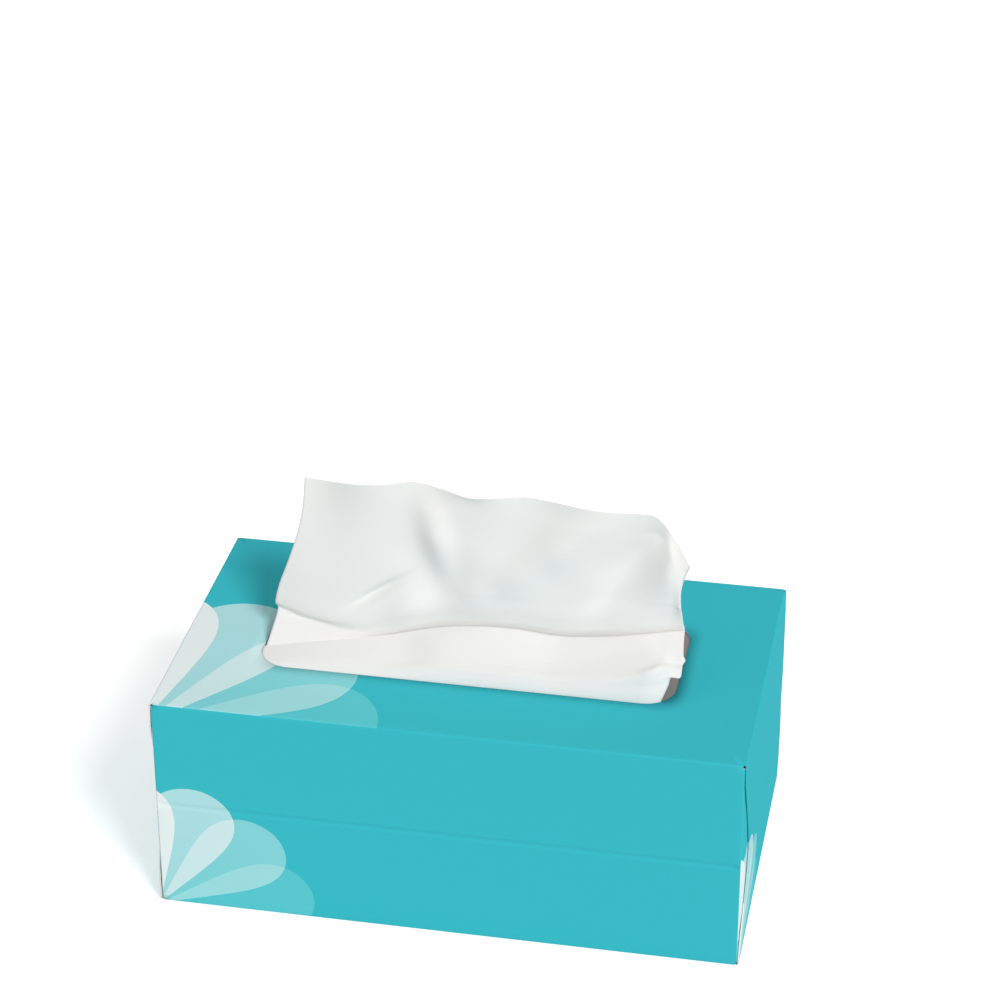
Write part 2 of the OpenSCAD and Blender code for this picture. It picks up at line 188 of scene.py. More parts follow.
def makeCamera():
    # Looks along the azimuth from +Y and down by the elevation, then rolls about that line
    a, e, r = (math.radians(view[k]) for k in ("azimuth", "elevation", "roll"))
    forward = np.array([-math.sin(a) * math.cos(e), math.cos(a) * math.cos(e), -math.sin(e)])
    level = np.array([math.cos(a), math.sin(a), 0.0])
    up = np.cross(level, forward)
    right = math.cos(r) * level + math.sin(r) * up
    up = np.cross(right, forward)
    camera = bpy.data.objects.new("camera", bpy.data.cameras.new("camera"))
    bpy.context.scene.collection.objects.link(camera)
    camera.data.lens = view["lens"]
    camera.data.clip_start, camera.data.clip_end = view["clipStart"] * mm, view["clipEnd"] * mm
    columns = [right, up, -forward, np.array(view["place"]) * mm]
    camera.matrix_world = Matrix([[float(c[k]) for c in columns] for k in range(3)] + [[0, 0, 0, 1]])
    bpy.context.scene.camera = camera


studio = {
    "keyAzimuth": 42,
    "keyElevation": 41,
    "keySoftness": 17,
    "keyStrength": 1.82,
    "skyStrength": 0.48,
    "floorSize": 6000,
    "floorColour": "#f4f4f3",
    "floorGlow": 0.45,
}


def seenRay(tree):
    # 1 for a ray that shows the backdrop: straight, mirrored or through something clear
    path = addNode(tree, "ShaderNodeLightPath")
    seen = path.outputs["Is Camera Ray"]
    for kind in ("Is Glossy Ray", "Is Transmission Ray"):
        seen = mathNode(tree, "MAXIMUM", seen, path.outputs[kind])
    return seen


def makeLight():
    # One wide soft lamp from the front right, and an even white sky that fills the shade
    a, e = math.radians(studio["keyAzimuth"]), math.radians(studio["keyElevation"])
    lamp = bpy.data.lights.new("keyLight", "SUN")
    lamp.energy = studio["keyStrength"]
    lamp.angle = math.radians(studio["keySoftness"])
    key = bpy.data.objects.new("keyLight", lamp)
    bpy.context.scene.collection.objects.link(key)
    key.rotation_euler = (math.pi / 2 - e, 0, a)
    world = bpy.data.worlds.new("studio")
    bpy.context.scene.world = world
    world.use_nodes = True
    tree = world.node_tree
    tree.nodes.clear()
    strength = addNode(tree, "ShaderNodeMix", {"data_type": "FLOAT"},
                       {"Factor": seenRay(tree), 2: studio["skyStrength"], 3: 1.0})
    sky = addNode(tree, "ShaderNodeBackground", None,
                  {"Color": (1, 1, 1, 1), "Strength": strength.outputs[0]})
    addNode(tree, "ShaderNodeOutputWorld", None, {"Surface": sky.outputs[0]})


def makeFloor():
    # A pale matt floor that glows a little where it is seen, as the backdrop does, and keeps the
    # box's shadow
    material, tree, out = startMaterial("matt paper backdrop")
    matt = addNode(tree, "ShaderNodeBsdfDiffuse", None, {"Color": linearColour(studio["floorColour"])})
    glow = mathNode(tree, "MULTIPLY", seenRay(tree), studio["floorGlow"])
    light = addNode(tree, "ShaderNodeEmission", None, {"Color": (1, 1, 1, 1), "Strength": glow})
    both = addNode(tree, "ShaderNodeAddShader", None, {0: matt.outputs[0], 1: light.outputs[0]})
    tree.links.new(both.outputs[0], out.inputs["Surface"])
    half = studio["floorSize"] / 2
    points = np.array([[-half, -half, 0], [half, -half, 0], [half, half, 0], [-half, half, 0]])
    floor = newPiece("floor", points, np.array([[0, 1, 2, 3]]), [material], False)


bpy.context.scene.view_settings.view_transform = "Standard"
makeCamera()
makeLight()
makeFloor()
print("camera, light and floor done")


# Carton: one sheet of board, folded round into a tube and closed by flaps at both ends

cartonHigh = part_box("carton")[1]
board = {
    "thickness": 0.45,
    "foldRadius": 0.8,
    "flapBow": 1,
    "bowHeight": 42,
    "bowPower": 1.5,
    "bowOnset": 4,
    "width": 2 * cartonHigh.y / mm,
    "height": cartonHigh.z / mm,
    "scoreWidth": 1.9,
    "scoreDepth": 0.14,
    "scoreShoulder": 0.35,
    "lap": 14,
    "lapPlay": 0.02,
    "windowLength": 150,
    "windowWidth": 55,
    "windowRadius": 11.5,
    "flapGap": 0.2,
    "flapInset": 0.1,
    "flapSpread": 0.9,
    "flapCornerWidth": 11,
    "flapCornerHeight": 33,
    "dustLength": 48,
    "dustInset": 1.2,
    "dustTaper": 9,
    "dustTaperStart": 0.4,
    "dustPlay": 0.05,
    "dustBow": 0.85,
    "dustBowRun": 3,
    "stepsLong": 84,
    "stepsWide": 48,
    "foldSteps": 8,
    "lapSteps": 8,
    "panelSteps": 18,
    "scoreMargin": 1,
    "windowRings": 7,
    "flapSteps": 6,
    "cornerSteps": 22,
    "dustSteps": 15,
}
# Number of each of the box's sides in the print. The carton's materials are a face, an inside and
# a cut edge, first for plain parts, and then for outer flaps whose cut edges the print runs over
panel = {"bottom": 0, "front": 1, "top": 2, "back": 3, "right": 4, "left": 5}
slot = {"plain": 0, "inked": 3}
board["length"] = 2 * (cartonHigh.x / mm - board["flapBow"])
halfLength, halfWidth = board["length"] / 2, board["width"] / 2
fold = board["foldRadius"]
dustX = halfLength - board["thickness"] - board["dustPlay"]
tubeX = dustX - fold
sideY = halfWidth - fold
topZ = board["height"]
seamZ = topZ / 2
windowX, windowY = board["windowLength"] / 2, board["windowWidth"] / 2


def bowAt(z):
    # How far an end bulges at height z: a sine to the bow's power, with its height bent so that
    # its middle comes at the bow's height
    bend = math.log(0.5) / math.log(board["bowHeight"] / topZ)
    return board["flapBow"] * np.sin(np.pi * (np.clip(z, 0, topZ) / topZ) ** bend) ** board["bowPower"]


def arcPoints(centre, radius, start, end, steps):
    # Points on a circle from one angle to another
    a = np.radians(np.linspace(start, end, steps + 1))
    return np.stack([centre[0] + radius * np.cos(a), centre[1] + radius * np.sin(a)], -1)


def scoreProfile(z):
    # Depth of the pressed score at height z: a flat bottom between two sloping shoulders
    past = np.abs(z - seamZ) - (board["scoreWidth"] / 2 - board["scoreShoulder"])
    return board["scoreDepth"] * np.clip(1 - past / board["scoreShoulder"], 0, 1)


def panelLevels():
    # Heights up a long panel, with the score's own levels among them
    shoulders = [board["scoreWidth"] / 2 - board["scoreShoulder"] * k for k in (0, 0.5, 1)]
    near = seamZ + np.array([-s for s in shoulders] + [0] + shoulders[::-1])
    below = np.linspace(fold, near[0] - board["scoreMargin"], board["panelSteps"])
    above = np.linspace(near[-1] + board["scoreMargin"], topZ - fold, board["panelSteps"])
    return np.concatenate([below, near, above])


def tubeRuns():
    # Outer face of the board round the tube, in two runs: from the lap's free edge to the top
    # panel, and from there down the back to its cut edge. Each has points [y, z], and for each
    # step the number of its panel
    inner = halfWidth - board["thickness"] - board["lapPlay"]
    steps, middle = board["foldSteps"], board["foldSteps"] // 2
    z = panelLevels()
    score = scoreProfile(z)
    flat = np.linspace(inner - fold, -sideY, board["stepsWide"] + 1)
    lapZ = np.linspace(fold + board["lap"], fold, board["lapSteps"])
    corners = [arcPoints((inner - fold, fold), fold, 0, -90, steps),
               arcPoints((-sideY, fold), fold, -90, -180, steps),
               arcPoints((-sideY, topZ - fold), fold, 180, 90, steps),
               arcPoints((sideY, topZ - fold), fold, 90, 0, steps)]
    front = [np.stack([lapZ * 0 + inner, lapZ], -1), corners[0][1:], np.stack([flat, flat * 0], -1)[1:],
             corners[1][1:], np.stack([score - halfWidth, z], -1)[1:], corners[2][1:]]
    back = [corners[3], np.stack([halfWidth - score, z], -1)[::-1][1:],
            np.array([[halfWidth, board["thickness"] / 2]])]
    turn = sum(len(part) for part in front[:3]) + middle
    frontPanels = np.repeat([panel["bottom"], panel["front"], panel["top"]],
                            [turn - 1, middle + len(z) - 1 + middle, middle])
    backPanels = np.repeat([panel["top"], panel["back"]], [middle, middle + len(z)])
    return (np.concatenate(front), frontPanels), (np.concatenate(back), backPanels)


def windowSide(places, long):
    # Quarter of the window's edge that faces one side of the panel: half a corner, the straight
    # stretch and half a corner, by arc length, for places from -1 to 1: [along, across]
    r = board["windowRadius"]
    halfAlong, halfAcross = (windowX, windowY) if long else (windowY, windowX)
    straight = halfAlong - r
    corner = r * math.pi / 4
    s = np.abs(places) * (straight + corner)
    a = np.maximum(s - straight, 0) / r
    along = np.minimum(s, straight) + r * np.sin(a)
    across = halfAcross - r * (1 - np.cos(a))
    return np.stack([np.sign(places) * along, across], -1)


def topPanel(xs, ys):
    # Flat ring between the panel's straight edges and the window's rounded edge
    front = np.stack([xs, xs * 0 - sideY], -1)
    right = np.stack([ys * 0 + tubeX, ys], -1)
    outer = np.concatenate([front[:-1], right[:-1], -front[:-1], -right[:-1]])
    longSide, endSide = windowSide(xs / tubeX, True), windowSide(ys / sideY, False)
    innerFront = np.stack([longSide[:, 0], -longSide[:, 1]], -1)
    innerRight = np.stack([endSide[:, 1], endSide[:, 0]], -1)
    inner = np.concatenate([innerFront[:-1], innerRight[:-1], -innerFront[:-1], -innerRight[:-1]])
    t = np.linspace(0, 1, board["windowRings"])[:, None, None]
    flat = outer + (inner - outer) * t
    points = np.concatenate([flat, np.full(flat.shape[:2] + (1,), topZ)], -1)
    return points.reshape(-1, 3), gridFaces(len(t), len(outer), wrap=True)


def outerFlap(ys, up, right):
    # Outer flap of an end: round its fold, where it widens to the faces of the long panels, then
    # up or down the bulging end to the seam. Its last stretch, the corner, narrows evenly, and the
    # bulge sets in round the fold by a power of the way outwards
    reach = seamZ - board["flapGap"] / 2
    corner = board["flapCornerHeight"]
    quarter = np.sin(np.linspace(0, np.pi / 2, board["cornerSteps"]))
    d = np.concatenate([np.linspace(fold, reach - corner, board["flapSteps"])[1:],
                        reach - corner * (1 - quarter)[1:]])
    arc = arcPoints((halfLength - fold, fold), fold, -90, 0, board["foldSteps"])
    x = np.concatenate([[tubeX], arc[:, 0], halfLength + d * 0])
    z = np.concatenate([[0], arc[:, 1], d])
    level = topZ - z if up else z
    past = np.clip((z - (reach - corner)) / corner, 0, 1)
    wide = np.minimum(sideY + board["flapSpread"] * z, halfWidth - board["flapInset"])
    half = wide - board["flapCornerWidth"] * past
    x = x + bowAt(level) * np.clip((x - tubeX) / (halfLength - tubeX), 0, 1) ** board["bowOnset"]
    s = ys / sideY
    grid = np.stack(np.broadcast_arrays((x if right else -x)[:, None], half[:, None] * s, level[:, None]), -1)
    return grid.reshape(-1, 3), gridFaces(len(x), len(s))


def dustFlap(z, y0, back, right):
    # Dust flap from a long panel's end: round its fold and along the end, where it narrows from
    # a share of its length on, and bulges past its fold by a share of the outer flaps' bow
    arc = arcPoints((tubeX, fold - halfWidth), fold, -90, 0, board["foldSteps"])
    run = np.linspace(fold, board["dustLength"], board["dustSteps"])[1:] - halfWidth
    x = np.concatenate([arc[:, 0], run * 0 + dustX])
    y = np.concatenate([arc[:, 1], run])
    start = board["dustTaperStart"] * board["dustLength"]
    past = np.clip((y + halfWidth - start) / (board["dustLength"] - start), 0, 1)
    half = seamZ - board["dustInset"] - board["dustTaper"] * past
    s = (z - seamZ) / (seamZ - fold)
    level = seamZ + half[:, None] * s
    level[0] = z
    grid = np.stack(np.broadcast_arrays((x if right else -x)[:, None], y[:, None], level), -1).copy()
    grid[0, :, 1] = -np.abs(y0)
    past = np.clip((y + halfWidth - 0.5 * fold) / board["dustBowRun"], 0, 1)[:, None]
    grid[..., 0] += (1 if right else -1) * board["dustBow"] * bowAt(level) * past ** 2 * (3 - 2 * past)
    if back:
        grid[:, :, 1] *= -1
    return grid.reshape(-1, 3), gridFaces(len(x), len(z))


def tubeStrip(section, xs):
    # Section carried along the box
    grid = np.stack(np.broadcast_arrays(xs, section[:, :1], section[:, 1:]), -1)
    return grid.reshape(-1, 3), gridFaces(len(section), len(xs))


fans = {
    "front": (58.6, 53),
    "frontPoint": (-0.5, -1.25),
    "top": (82.2, 89.3),
    "topPoint": (0.66, -13.5),
    "end": (48, 48),
    "firstAngle": 102,
    "step": 30.1,
    "spread": 24.3,
    "petals": 4,
    "sidePower": 1.8,
    "tipPower": 5.4,
    "nowhere": -9,
}


def fanPlace(points, panels):
    # Place on the print, measured from the point of the panel's fan, and on each axis as a share
    # of the fan's reach. The front, the top and both ends have a fan, and the rest are bare
    x, y, z = (points[..., k] for k in range(3))
    panels = np.broadcast_to(panels, x.shape)
    fromLeft, fromFront = x + halfLength, y + halfWidth
    isSide = [panels == panel[side] for side in ("front", "top", "right", "left")]
    along = np.select(isSide, [(fromLeft - fans["frontPoint"][0]) / fans["front"][0],
                               (fromLeft - fans["topPoint"][0]) / fans["top"][0],
                               fromFront / fans["end"][0], fromFront / fans["end"][0]], fans["nowhere"])
    up = np.select(isSide, [(z - fans["frontPoint"][1]) / fans["front"][1],
                            (fromFront - fans["topPoint"][1]) / fans["top"][1],
                            z / fans["end"][1], (topZ - z) / fans["end"][1]], fans["nowhere"])
    return np.stack([along, up], -1)


def facing(points, faces, outward):
    # Faces turned so that on the whole they look along the outward directions
    a, b, c = (points[faces[:, k]] for k in (0, 1, 2))
    normals = np.cross(b - a, c - a)
    if (normals * outward(points[faces].mean(1))).sum() < 0:
        return faces[:, ::-1]
    return faces


def makeCarton(materials):
    # All panels and flaps as one sheet, joined where their edges meet. The first half of each
    # fold has the number of the panel that it starts on
    xs = np.linspace(-tubeX, tubeX, board["stepsLong"] + 1)
    ys = np.linspace(-sideY, sideY, board["stepsWide"] + 1)
    z = panelLevels()
    panelY = halfWidth - scoreProfile(z)
    fromAxis = lambda c: c * [0, 1, 1] - [0, 0, seamZ]
    parts, inked = [], []
    for section, panels in tubeRuns():
        points, faces = tubeStrip(section, xs)
        parts.append((points, facing(points, faces, fromAxis), np.repeat(panels, len(xs) - 1)))
    points, faces = topPanel(xs, ys)
    parts.append((points, facing(points, faces, lambda c: c * 0 + [0, 0, 1]),
                  np.full(len(faces), panel["top"])))
    turned = board["foldSteps"] // 2
    for right in (True, False):
        outward = lambda c, right=right: c * 0 + [1 if right else -1, 0, 0]
        end = panel["right" if right else "left"]
        for up in (True, False):
            points, faces = outerFlap(ys, up, right)
            panels = np.where(np.arange(len(faces)) // (len(ys) - 1) < turned + 1,
                              panel["top" if up else "bottom"], end)
            parts.append((points, facing(points, faces, outward), panels))
            inked += [len(parts) - 1] if up or right else []
        for back in (True, False):
            points, faces = dustFlap(z, panelY, back, right)
            panels = np.where(np.arange(len(faces)) // (len(z) - 1) < turned,
                              panel["back" if back else "front"], end)
            parts.append((points, facing(points, faces, outward), panels))
    offsets = np.cumsum([0] + [len(part[0]) for part in parts[:-1]])
    points = np.concatenate([part[0] for part in parts])
    faces = np.concatenate([part[1] + offset for part, offset in zip(parts, offsets)])
    panels = np.concatenate([part[2] for part in parts])
    places = fanPlace(points[faces], panels[:, None])
    _, first, joined = np.unique(np.round(points, 3), axis=0, return_index=True, return_inverse=True)
    carton = newPiece("printed_carton", points[first], joined.reshape(-1)[faces], materials)
    setMap(carton, "fans", places)
    slots = np.concatenate([np.full(len(part[1]), slot["inked" if k in inked else "plain"])
                            for k, part in enumerate(parts)])
    carton.data.polygons.foreach_set("material_index", slots.astype(np.int32))
    addThickness(carton, board["thickness"], inside=1, rim=2)
    return carton


def petalMask(tree, radius, angle, place):
    # 1 inside a petal: where its angle from the petal's axis as a share of the spread, to the
    # side's power, and its distance from the fan's point, to the tip's power, add up to under 1
    axis = math.radians(fans["firstAngle"] - fans["step"] * place)
    turn = mathNode(tree, "ABSOLUTE", mathNode(tree, "SUBTRACT", angle, axis))
    share = mathNode(tree, "DIVIDE", turn, math.radians(fans["spread"]))
    total = mathNode(tree, "ADD", mathNode(tree, "POWER", share, fans["sidePower"]),
                     mathNode(tree, "POWER", radius, fans["tipPower"]))
    return mathNode(tree, "LESS_THAN", total, 1.0)


ink = {
    "teal": "#3cbeca",
    "white": "#eaf4f3",
    "pale": "#b2e3e6",
    "paleOverlap": "#d4ecee",
    "light": "#88d7dc",
    "lightOverlap": "#a3dfe2",
    "faint": "#5ecbd2",
    "gapFade": 0.2,
    "fadeEnd": 0.9,
    "fibre": 0.5,
    "fibreDetail": 3,
    "fibreRoughness": 0.6,
    "roughness": 0.4,
    "roughnessSpread": 0.05,
    "relief": 0.06,
    "reliefDepth": 0.02,
    "varnish": 0.06,
}


def printedBoard():
    # White-lined board, offset printed and varnished: an even colour with a soft sheen, in which
    # the fibres below barely show
    material, tree, out = startMaterial("varnished printed paperboard")
    place = addNode(tree, "ShaderNodeUVMap", {"uv_map": "fans"})
    axes = addNode(tree, "ShaderNodeSeparateXYZ", None, {0: place.outputs[0]})
    angle = mathNode(tree, "ARCTAN2", axes.outputs["Y"], axes.outputs["X"])
    radius = addNode(tree, "ShaderNodeVectorMath", {"operation": "LENGTH"},
                     {0: place.outputs[0]}).outputs["Value"]
    petals = [petalMask(tree, radius, angle, k) for k in range(fans["petals"])]
    both = lambda a, b: mathNode(tree, "MULTIPLY", a, b)
    fade = addNode(tree, "ShaderNodeMapRange", None,
                   {"Value": radius, "From Min": 0.0, "From Max": ink["fadeEnd"],
                    "To Min": 1 - ink["gapFade"], "To Max": 1.0}).outputs[0]
    layers = [(both(petals[3], fade), "faint"), (both(petals[2], fade), "light"),
              (both(both(petals[2], petals[3]), fade), "lightOverlap"), (both(petals[1], fade), "pale"),
              (both(both(petals[1], petals[2]), fade), "paleOverlap"), (petals[0], "white")]
    colour = linearColour(ink["teal"])
    for amount, tint in layers:
        colour = addNode(tree, "ShaderNodeMix", {"data_type": "RGBA"},
                         {"Factor": amount, 6: colour, 7: linearColour(ink[tint])}).outputs[2]
    fibres = noiseNode(tree, ink["fibre"], ink["fibreDetail"], ink["fibreRoughness"])
    rough = waverNode(tree, fibres, ink["roughness"], ink["roughnessSpread"])
    relief = bumpNode(tree, fibres, ink["relief"], ink["reliefDepth"])
    shader = addNode(tree, "ShaderNodeBsdfPrincipled", None,
                     {"Base Color": colour, "Specular IOR Level": 0.0, "Coat Weight": ink["varnish"],
                      "Coat Roughness": rough, "Normal": relief, "Coat Normal": relief})
    tree.links.new(shader.outputs[0], out.inputs["Surface"])
    return material


bare = {
    "inside": {"colour": "#a9a59e", "fibre": 0.6, "roughness": 0.85},
    "edge": {"colour": "#e6e3da", "fibre": 0.2, "roughness": 0.9},
    "fibreDetail": 4,
    "darkFibres": 0.9,
    "relief": 0.2,
    "reliefDepth": 0.03,
}


def bareBoard(name, side):
    # Uncoated grey-white board: matt, with its fibres as a fine uneven tone
    material, tree, out = startMaterial(name)
    fibres = noiseNode(tree, side["fibre"], bare["fibreDetail"])
    base = np.array(linearColour(side["colour"]))
    dark = base * ([bare["darkFibres"]] * 3 + [1])
    tone = addNode(tree, "ShaderNodeMix", {"data_type": "RGBA"},
                   {"Factor": fibres, 6: tuple(dark), 7: tuple(base)})
    relief = bumpNode(tree, fibres, bare["relief"], bare["reliefDepth"])
    shader = addNode(tree, "ShaderNodeBsdfPrincipled", None,
                     {"Base Color": tone.outputs[2], "Roughness": side["roughness"], "Normal": relief})
    tree.links.new(shader.outputs[0], out.inputs["Surface"])
    return material


printed, inside = printedBoard(), bareBoard("uncoated board inside", bare["inside"])
cut = bareBoard("cut board edge", bare["edge"])
carton = makeCarton([printed, inside, cut, printed, inside, printed])
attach(carton, "root")
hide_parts("carton", "petals_white", "petals_pale", "petals_pale_overlap",
            "petals_light", "petals_light_overlap", "petals_faint")
print("carton done")


# Film under the window, with the slit along it

film = {
    "thickness": 0.08,
    "margin": 12,
    "dip": 3,
    "slitEnd": 5,
    "slitWidth": 4,
    "slitCut": 0.6,
    "glueLine": 0.02,
    "glueFade": 4,
    "columns": 150,
    "endSteps": 4,
    "rows": 41,
    "crinkle": 0.12,
    "crinkleWaves": [(0.8, 1, 14), (-0.35, 1.3, 23.8)],
    "tint": "#99948f",
    "alpha": 0.62,
    "refraction": 1.5,
    "haze": 6,
    "hazeDetail": 2,
    "roughness": 0.22,
    "roughnessSpread": 0.06,
}
underTop = topZ - board["thickness"]
slitX = windowX - film["slitEnd"]


def filmHeight(x, y):
    # Flat where it is glued, and dipping towards the slit: one less the square of the share
    # along the window, times one less the share across it
    along = np.maximum(0, 1 - (x / windowX) ** 2)
    across = np.maximum(0, 1 - np.abs(y) / windowY)
    return underTop - film["dip"] * along * across


def slitHalf(x):
    # Half of the slit's width: an ellipse on top of a narrow cut
    narrow = film["slitCut"] / 2
    ellipse = np.sqrt(np.maximum(0, 1 - (x / slitX) ** 2))
    return narrow + (film["slitWidth"] / 2 - narrow) * ellipse


def makeFilm(material):
    # Two halves, front and back of the slit, as one grid whose middle row of cells is left out
    # between the slit's ends. Past its glued margin it crinkles by the product of its waves, each
    # a sine of a share of x and a share of y over its length
    outerX, outerY = windowX + film["margin"], windowY + film["margin"]
    inner = np.linspace(-slitX, slitX, film["columns"] - 2 * film["endSteps"])
    end = np.linspace(slitX, outerX, film["endSteps"] + 1)[1:]
    x = np.concatenate([-end[::-1], inner, end])
    half = (film["rows"] - 1) // 2
    share = np.linspace(0, 1, half + 1)[:, None]
    front = -outerY + (outerY - slitHalf(x)) * share
    y = np.concatenate([front, -front[::-1]])
    free = np.clip(film["glueFade"] * (1 - np.maximum(np.abs(x) / windowX, np.abs(y) / windowY)), 0, 1)
    wave = 1
    for shareX, shareY, length in film["crinkleWaves"]:
        wave = wave * np.sin(2 * np.pi * (x * shareX + y * shareY) / length)
    z = filmHeight(x, y) - film["glueLine"] + film["crinkle"] * free * (wave - 1)
    points = np.stack(np.broadcast_arrays(x, y, z), -1)
    faces = gridFaces(len(y), len(x)).reshape(len(y) - 1, len(x) - 1, 4)
    keep = np.ones(faces.shape[:2], bool)
    keep[half, np.abs((x[:-1] + x[1:]) / 2) < slitX] = False
    piece = newPiece("window_film", points.reshape(-1, 3), faces[keep], [material])
    addThickness(piece, film["thickness"])
    return piece


def slitFilm():
    # Cast polyethylene film: thin, greyish and half clear, with a broad soft shine
    material, tree, out = startMaterial("polyethylene film")
    haze = noiseNode(tree, film["haze"], film["hazeDetail"])
    rough = waverNode(tree, haze, film["roughness"], film["roughnessSpread"])
    shader = addNode(tree, "ShaderNodeBsdfPrincipled", None,
                     {"Base Color": linearColour(film["tint"]), "Roughness": rough,
                      "IOR": film["refraction"], "Alpha": film["alpha"]})
    tree.links.new(shader.outputs[0], out.inputs["Surface"])
    return material


filmPiece = makeFilm(slitFilm())
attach(filmPiece, "root")
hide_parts("slit_film")
print("film done")


# Stack of interfolded tissues, whose folds show as ridges along its long sides

stackLow, stackHigh = (np.array(corner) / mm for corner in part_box("tissue_stack"))
stack = {
    "foldPitch": 1.3,
    "foldDepth": 0.5,
    "softEdge": 3,
    "stepsPerFold": 6,
    "edgeSteps": 8,
    "acrossSteps": 24,
    "columns": 90,
    "waver": 0.3,
    "waverAlong": 17,
    "waverUp": 9,
}


def makeStack(material):
    # One loop round the long sides, carried along the stack and closed at its ends. Each fold is
    # half a sine up the loop, and a slow wave along the stack keeps it from being quite straight
    halfY, low, high = stackHigh[1], stackLow[2], stackHigh[2]
    soft = stack["softEdge"]
    count = int((high - low - 2 * soft) / stack["foldPitch"])
    sideZ = np.linspace(low + soft, high - soft, count * stack["stepsPerFold"] + 1)
    ridge = np.abs(np.sin(np.pi * np.linspace(0, count, len(sideZ))))
    side = np.stack([halfY - stack["foldDepth"] * (1 - ridge), sideZ], -1)
    steps = stack["edgeSteps"]
    right = np.concatenate([arcPoints((halfY - soft, low + soft), soft, -90, 0, steps)[:-1], side,
                            arcPoints((halfY - soft, high - soft), soft, 0, 90, steps)[1:]])
    across = np.linspace(halfY - soft, soft - halfY, stack["acrossSteps"])[1:-1]
    loop = np.concatenate([right, np.stack([across, across * 0 + high], -1), right[::-1] * [-1, 1],
                           np.stack([-across, across * 0 + low], -1)])
    x = np.linspace(stackLow[0], stackHigh[0], stack["columns"])[:, None]
    slow = np.abs(np.sin(x / stack["waverAlong"] + loop[:, 1] / stack["waverUp"]))
    waver = stack["waver"] * slow * (halfY - np.abs(loop[:, 0]) < soft)
    y = loop[:, 0] - np.sign(loop[:, 0]) * waver
    skin = np.stack(np.broadcast_arrays(x, y, loop[:, 1]), -1)
    grid = np.concatenate([skin[:1] * [1, 0, 1], skin, skin[-1:] * [1, 0, 1]])
    points = grid.reshape(-1, 3)
    faces = gridFaces(len(grid), len(loop), wrap=True)
    pile = newPiece("tissue_pile", points, faces, [material])
    setMap(pile, "paper", points[faces][..., [0, 2]])
    return pile


# Raised sheet: from its foot on the stack up through the slit, forward over the film, back
# over itself as a low roll that fills the front of the window, and up to its free edge

sheet = {
    "flatWidth": 200,
    "flatLength": 180,
    "thickness": 0.2,
    "columns": 196,
    "rowRuns": [(0, 10, 40), (10, 24, 108), (24, 30, 96)],
    "slack": 1.5,
    "stackPlay": 0.35,
    "lipOut": 0.12,
    "lipUp": 0.12,
    "lipEndX": 72.9,
    "sagFromX": 70,
    "sagSlope": 0.55,
    "valleyBack": 0.4,
    "valleyDip": 0.7,
    "valleySlope": 0.25,
    "rollFade": [12.5, 15, 19.3, 21],
    "standFade": [24, 26, 29.2, 30],
    "leanPower": 1.6,
    "freeStart": -62,
    "freeStep": 10,
    "shoulderX": 62,
    "droop": 19.5,
    "droopWidth": 13.4,
    "droopPower": 1.67,
    "curl": 6,
    "wave": 2.0,
    "wavePitch": 40,
    "wavePlace": 19,
    "waveFade": 0.6,
    "waveRise": 3,
    "seenSlope": 0.6,
    "paper": "#efeeec",
    "crepe": 0.9,
    "crepeStretch": 0.35,
    "crepeDetail": 3,
    "relief": 0.25,
    "reliefDepth": 0.06,
    "roughness": 0.95,
    "sheen": 0.08,
    "sheenRoughness": 0.6,
}

# Every 15 mm along the window, as [y, z]: the crest before the valley behind the roll, the line
# behind the valley where the sheet stands up, and the bulge a little above it
rollBack = [[-15.5, 84.4], [-13, 86.2], [-10, 87.6], [-6, 88.9], [-4, 92.1], [-3.5, 94.2],
            [-3.5, 94.7], [-3.5, 93.6], [-3.5, 94.9], [-3, 97.3], [-1, 99.2]]
footLine = [[-2.6, 93.3], [-5, 90.9], [-7.9, 90.4], [-7.1, 92.3], [-5, 95.4], [-4.5, 97.5],
            [-4.5, 98], [-4.5, 96.9], [-4.4, 98.2], [-3.8, 100.6], [-1.6, 102.5]]
bulgeLine = [[-3.4, 96.5], [-6.6, 94.3], [-8.4, 94.6], [-7.4, 96.8], [-5.6, 100.5], [-5.1, 102.6],
             [-5.1, 103.1], [-5.1, 102], [-4.8, 103.3], [-4, 105.6], [-1.6, 107]]
# Free edge's height as the front sees it, every 10 mm from its left corner to its shoulder
freeTop = [146.4, 145.7, 145.2, 146.4, 148.6, 146.6, 143.9, 144.9, 146.5, 145.4, 143.9, 143.3, 143.9]

# Soft folds, each a swelling, or a hollow where its height is below zero: middle, half length,
# half width, turn in degrees and height. On the standing part the places are [x, z] and it
# swells forward, and on the roll they are [x, y] and it swells up
standFolds = [
    (-35.4, 104.8, 11, 2, 33, -3), (-13.8, 127, 16.9, 5.5, 104, 3.2), (-1.2, 146, 5.7, 6.1, 105, -3),
    (24.9, 124.1, 25.6, 6.6, 41, 3.2), (54.3, 119.6, 25.2, 5.9, 57, -3.1), (-24.7, 99.3, 8.9, 4.6, 39, 2.9),
    (-1.6, 104, 11.8, 7, 78, 2.8), (-12.1, 111.4, 18.2, 9, 131, -2.3), (8.6, 118.1, 20.8, 7, 152, 0.9),
    (52.9, 124.6, 13, 6.7, 23, -0.8), (31.5, 126.3, 14.7, 7.8, 123, 0.7), (69.9, 123.8, 15.4, 5.7, 69, 2.2),
    (71.3, 128.7, 20.7, 4.4, 92, 1.9), (71.4, 121.3, 9.6, 6.5, 73, 1.4), (71.8, 131.2, 8.1, 4, 65, 0.6),
    (67.9, 134.3, 6.5, 4.4, 80, -0.9), (74.4, 113, 11, 2.3, 90, 3.2),
]
